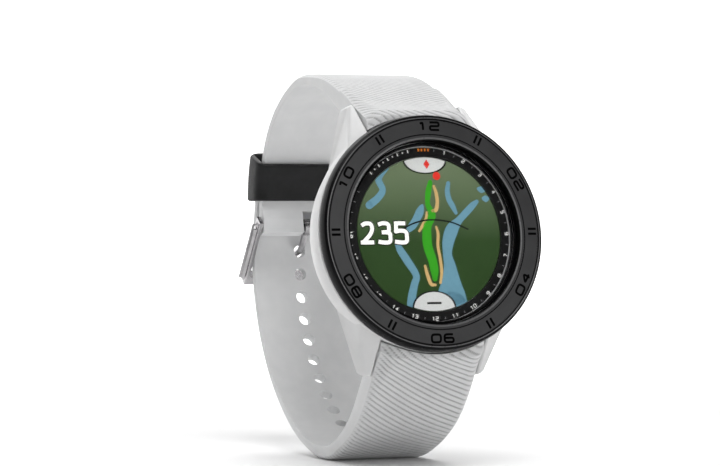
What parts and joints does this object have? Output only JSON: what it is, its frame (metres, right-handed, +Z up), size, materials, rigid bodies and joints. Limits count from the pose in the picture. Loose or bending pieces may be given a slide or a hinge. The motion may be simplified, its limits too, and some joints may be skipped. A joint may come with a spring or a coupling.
{
  "type": "golf gps watch",
  "caption": "Round golf GPS wristwatch with a numbered bezel, an action key and a buckled silicone strap with keeper and quick-release bars.",
  "frame": {"origin": "the wrist mount: the middle of the space that the buckled strap closes round the wrist", "axes": "+Z up with the buckled watch leaning back 9.63 degrees, dial facing -Y, +X towards 3 o'clock, along the wrist"},
  "size_m": [0.046, 0.0785, 0.0772],
  "materials": {
    "antenna_ceramic": "unglazed ceramic",
    "battery_foil": "laminated foil pouch",
    "black_plastic": "matt",
    "black_rubber": "satin",
    "board_green": "solder mask",
    "cover_glass": "clear, polished",
    "diffuser_white": "diffuse",
    "display_green": "reflective display showing a golf hole",
    "gold_plating": "gold plated",
    "grey_ceramic": "satin dark grey ceramic",
    "steel": "polished",
    "tungsten": "sintered",
    "white_polymer": "satin moulded",
    "white_silicone": "matt moulded silicone"
  },
  "bodies": {
    "watch": {"backlight_panel": "diffuser_white", "battery": "battery_foil", "bezel_gasket": "black_rubber", "bezel_ring": "grey_ceramic", "buckle_bar_spring": "steel", "buckle_bar_tube": "steel", "buckle_strap": "white_silicone", "case_body": "white_polymer", "charging_pin_1": "gold_plating", "charging_pin_2": "gold_plating", "charging_pin_3": "gold_plating", "charging_pin_4": "gold_plating", "charging_port": "black_plastic", "display_panel": "display_green", "gps_antenna": "antenna_ceramic", "hole_number_ring": "black_plastic", "inner_chassis": "black_plastic", "key_bushing": "black_plastic", "key_seal": "black_rubber", "key_switch": "black_plastic", "lens": "cover_glass", "lens_seal": "black_rubber", "lower_bar_spring": "steel", "lower_bar_tube": "steel", "main_board": "board_green", "rear_cover": "white_polymer", "rear_cover_seal": "black_rubber", "rear_screw_1": "steel", "rear_screw_2": "steel", "rear_screw_3": "steel", "rear_screw_4": "steel", "shield_can": "steel", "switch_dome": "gold_plating", "tail_strap": "white_silicone", "upper_bar_spring": "steel", "upper_bar_tube": "steel", "vibration_motor": "steel"},
    "action_key": {"action_key": "steel", "key_spring": "steel", "key_clip": "steel"},
    "buckle_frame": {"buckle_frame": "steel"},
    "buckle_tang": {"buckle_tang": "steel"},
    "keeper": {"keeper_loop": "black_rubber"},
    "upper_release": {"upper_bar_slider": "steel"},
    "lower_release": {"lower_bar_slider": "steel"},
    "buckle_tip_left": {"buckle_bar_tip_left": "steel"},
    "buckle_tip_right": {"buckle_bar_tip_right": "steel"},
    "vibration_weight": {"vibration_weight": "tungsten"}
  },
  "joints": [
    {"name": "action_key_press", "type": "slide", "parent": "watch", "child": "action_key", "axis": [-0.866, -0.0836, -0.493], "range_m": [0, 0.0006], "stiffness_N_per_m": 800, "springref_m": -0.0006},
    {"name": "buckle_frame_hinge", "type": "hinge", "parent": "watch", "child": "buckle_frame", "pos_m": [0, 0.02928, 0.0074], "axis": [1, 0, 0], "range_deg": [0, 68]},
    {"name": "buckle_tang_hinge", "type": "hinge", "parent": "watch", "child": "buckle_tang", "pos_m": [0, 0.02928, 0.0074], "axis": [1, 0, 0], "range_deg": [0, 3.5]},
    {"name": "keeper_slide", "type": "hinge", "parent": "watch", "child": "keeper", "pos_m": [0, 0.00648, 0.0131], "axis": [1, 0, 0], "range_deg": [-1, 6]},
    {"name": "upper_release_slide", "type": "slide", "parent": "watch", "child": "upper_release", "axis": [-1, 0, 0], "range_m": [0, 0.0014], "stiffness_N_per_m": 300, "springref_m": -0.001},
    {"name": "lower_release_slide", "type": "slide", "parent": "watch", "child": "lower_release", "axis": [-1, 0, 0], "range_m": [0, 0.0014], "stiffness_N_per_m": 300, "springref_m": -0.001},
    {"name": "buckle_tip_left_slide", "type": "slide", "parent": "watch", "child": "buckle_tip_left", "axis": [1, 0, 0], "range_m": [0, 0.0012], "stiffness_N_per_m": 300, "springref_m": -0.001},
    {"name": "buckle_tip_right_slide", "type": "slide", "parent": "watch", "child": "buckle_tip_right", "axis": [-1, 0, 0], "range_m": [0, 0.0012], "stiffness_N_per_m": 300, "springref_m": -0.001},
    {"name": "vibration_weight_spin", "type": "hinge", "parent": "watch", "child": "vibration_weight", "pos_m": [-0.0123, -0.02812, 0.00345], "axis": [0, 0.1673, 0.9859], "continuous": true}
  ]
}
